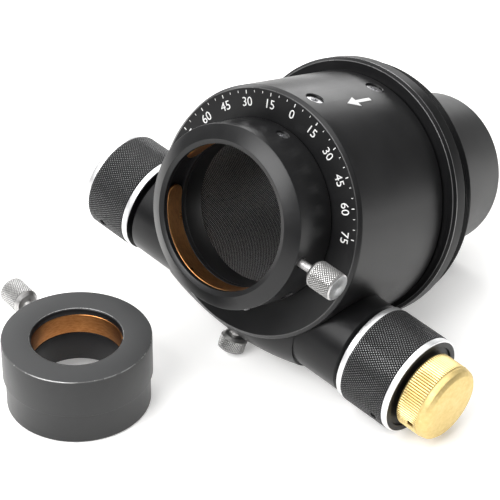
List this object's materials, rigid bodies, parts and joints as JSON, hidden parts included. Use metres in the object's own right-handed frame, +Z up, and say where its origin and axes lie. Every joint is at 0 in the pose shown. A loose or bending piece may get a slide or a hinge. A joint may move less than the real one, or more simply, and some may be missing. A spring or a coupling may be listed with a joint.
{
  "type": "telescope focuser",
  "caption": "Dual-speed friction focuser for a telescope with a sliding drawtube, knurled coarse knobs, a gold fine-focus knob and a loose eyepiece adapter beside it.",
  "frame": {"origin": "on the surface the set rests on, under the middle of its overall box", "axes": "+Z up from that surface; +Y from the eyepiece side towards the telescope side, along the level direction of the optical axis, which dips 17.7 degrees; +X towards the fine-focus knob"},
  "size_m": [0.1644, 0.1998, 0.1046],
  "materials": {
    "black_anodised": "fine-blasted, satin black anodised",
    "black_knurled": "black anodised over fine diamond knurling, with turned bare rims",
    "gold_anodised": "pale gold anodised, fine-ribbed grip and smooth end",
    "grey_anodised": "satin dark grey anodised",
    "plated_thumbscrew": "bright plated, knurled head and turned end",
    "brass": "rolled brass strip",
    "bronze": "sintered bronze",
    "ground_steel": "ground",
    "screw_steel": "zinc plated"
  },
  "bodies": {
    "housing": {"drum_housing": "black_anodised", "cross_housing": "black_anodised", "cross_housing_screws": "screw_steel", "rear_flange": "black_anodised", "flange_screws": "screw_steel", "bearing_carrier_front": "black_anodised", "bearing_carrier_rear": "black_anodised", "bearing_pins": "ground_steel", "carrier_screws": "screw_steel", "shaft_cradle": "black_anodised", "shaft_bushes": "bronze", "tension_set_screw": "screw_steel", "reducer_race": "ground_steel"},
    "drawtube_assembly": {"drawtube": "black_anodised", "drive_strip": "ground_steel", "travel_stop_screw": "screw_steel", "eyepiece_holder": "black_anodised", "holder_brass_band": "brass", "holder_set_screws": "screw_steel"},
    "coarse_drive": {"drive_shaft": "ground_steel", "left_coarse_knob": "black_knurled", "right_coarse_knob": "black_knurled", "left_knob_set_screw": "screw_steel", "right_knob_set_screw": "screw_steel", "ball_cage": "brass", "reducer_balls": "ground_steel"},
    "fine_drive": {"fine_spindle": "ground_steel", "fine_knob": "gold_anodised", "fine_knob_set_screw": "screw_steel"},
    "front_left_bearing": {"bearing_front_left": "ground_steel"},
    "front_right_bearing": {"bearing_front_right": "ground_steel"},
    "rear_left_bearing": {"bearing_rear_left": "ground_steel"},
    "rear_right_bearing": {"bearing_rear_right": "ground_steel"},
    "holder_screw": {"holder_thumbscrew": "plated_thumbscrew"},
    "lock_screw": {"lock_thumbscrew": "plated_thumbscrew"},
    "adapter": {"adapter_body": "grey_anodised", "adapter_brass_band": "brass"},
    "adapter_screw": {"adapter_thumbscrew": "plated_thumbscrew"}
  },
  "joints": [
    {"name": "coarse_focus", "type": "hinge", "parent": "housing", "child": "coarse_drive", "pos_m": [-0.00648, -0.00546, 0.02808], "axis": [0.9899, -0.0431, -0.1348], "range_deg": [0, 859.44]},
    {"name": "drawtube_slide", "type": "slide", "parent": "housing", "child": "drawtube_assembly", "axis": [0, -0.9525, 0.3047], "range_m": [0, 0.045]},
    {"name": "fine_focus", "type": "hinge", "parent": "housing", "child": "fine_drive", "pos_m": [0.07271, -0.00891, 0.01729], "axis": [0.9899, -0.0431, -0.1348], "range_deg": [0, 8594.37]},
    {"name": "front_left_bearing_spin", "type": "hinge", "parent": "housing", "child": "front_left_bearing", "pos_m": [-0.01889, 0.00202, 0.08691], "axis": [-0.8493, -0.1608, -0.5028], "range_deg": [0, 859.44]},
    {"name": "front_right_bearing_spin", "type": "hinge", "parent": "housing", "child": "front_right_bearing", "pos_m": [0.02177, 0.00025, 0.08138], "axis": [-0.6674, 0.2269, 0.7093], "range_deg": [0, 859.44]},
    {"name": "rear_left_bearing_spin", "type": "hinge", "parent": "housing", "child": "rear_left_bearing", "pos_m": [-0.01889, 0.03564, 0.07616], "axis": [-0.8493, -0.1608, -0.5028], "range_deg": [0, 859.44]},
    {"name": "rear_right_bearing_spin", "type": "hinge", "parent": "housing", "child": "rear_right_bearing", "pos_m": [0.02177, 0.03387, 0.07062], "axis": [-0.6674, 0.2269, 0.7093], "range_deg": [0, 859.44]},
    {"name": "holder_thumbscrew_turn", "type": "hinge", "parent": "drawtube_assembly", "child": "holder_screw", "pos_m": [0.03758, -0.02978, 0.06265], "axis": [0.9899, -0.0431, -0.1348], "range_deg": [0, 1350]},
    {"name": "lock_thumbscrew_turn", "type": "hinge", "parent": "housing", "child": "lock_screw", "pos_m": [-0.0091, -0.01533, 0.012], "axis": [-0.1415, -0.3016, -0.9429], "range_deg": [0, 1350]},
    {"name": "adapter_lift", "type": "slide", "parent": "housing", "child": "adapter", "axis": [0, 0, 1], "range_m": [0, 0.15]},
    {"name": "adapter_thumbscrew_turn", "type": "hinge", "parent": "adapter", "child": "adapter_screw", "pos_m": [-0.07052, -0.06445, 0.02036], "axis": [-0.9703, 0.2419, 0], "range_deg": [0, 1350]}
  ],
  "couplings": [
    {"joint": "drawtube_slide", "follows": "coarse_focus", "m_per_rad": 0.003},
    {"joint": "fine_focus", "follows": "coarse_focus", "ratio": 10},
    {"joint": "front_left_bearing_spin", "follows": "coarse_focus", "ratio": 1},
    {"joint": "front_right_bearing_spin", "follows": "coarse_focus", "ratio": 1},
    {"joint": "rear_left_bearing_spin", "follows": "coarse_focus", "ratio": 1},
    {"joint": "rear_right_bearing_spin", "follows": "coarse_focus", "ratio": 1}
  ]
}
